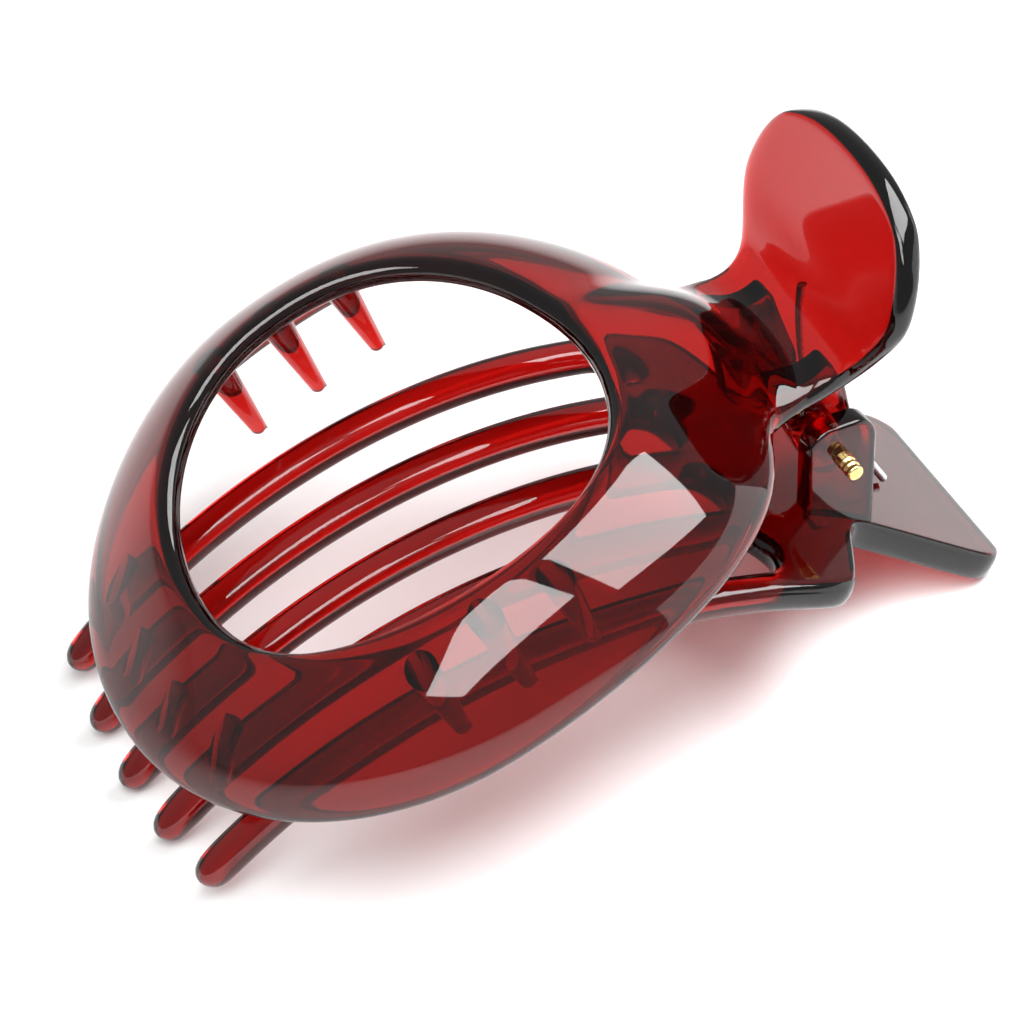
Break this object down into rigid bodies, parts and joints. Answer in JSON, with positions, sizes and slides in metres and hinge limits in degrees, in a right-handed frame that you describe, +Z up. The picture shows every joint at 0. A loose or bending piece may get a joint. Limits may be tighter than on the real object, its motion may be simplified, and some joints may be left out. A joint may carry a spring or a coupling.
{
  "type": "hair clip",
  "caption": "Large oval sprung hair clip: a domed jaw with a round window over a curved comb jaw, hinged on a brass pin, with a thumb paddle and tab.",
  "frame": {"origin": "middle of the clip's length and width, on the surface that it lies on", "axes": "+X along the clip from the prong tips to the hinge and thumb tab, +Y across the clip, +Z up away from the surface"},
  "size_m": [0.1132, 0.0826, 0.0607],
  "materials": {
    "plastic": "glossy, clear dark red",
    "brass": "bright drawn rod",
    "spring_steel": "drawn wire"
  },
  "bodies": {
    "comb": {"lower_jaw": "plastic", "hinge_pin": "brass", "spring": "spring_steel"},
    "dome": {"upper_jaw": "plastic"}
  },
  "joints": [
    {"name": "jaw_hinge", "type": "hinge", "parent": "comb", "child": "dome", "pos_m": [0.03415, 0, 0.02638], "axis": [0, 1, 0], "range_deg": [0, 35], "stiffness_Nm_per_rad": 0.25, "springref_deg": -34.38, "deforming": ["spring"]}
  ]
}
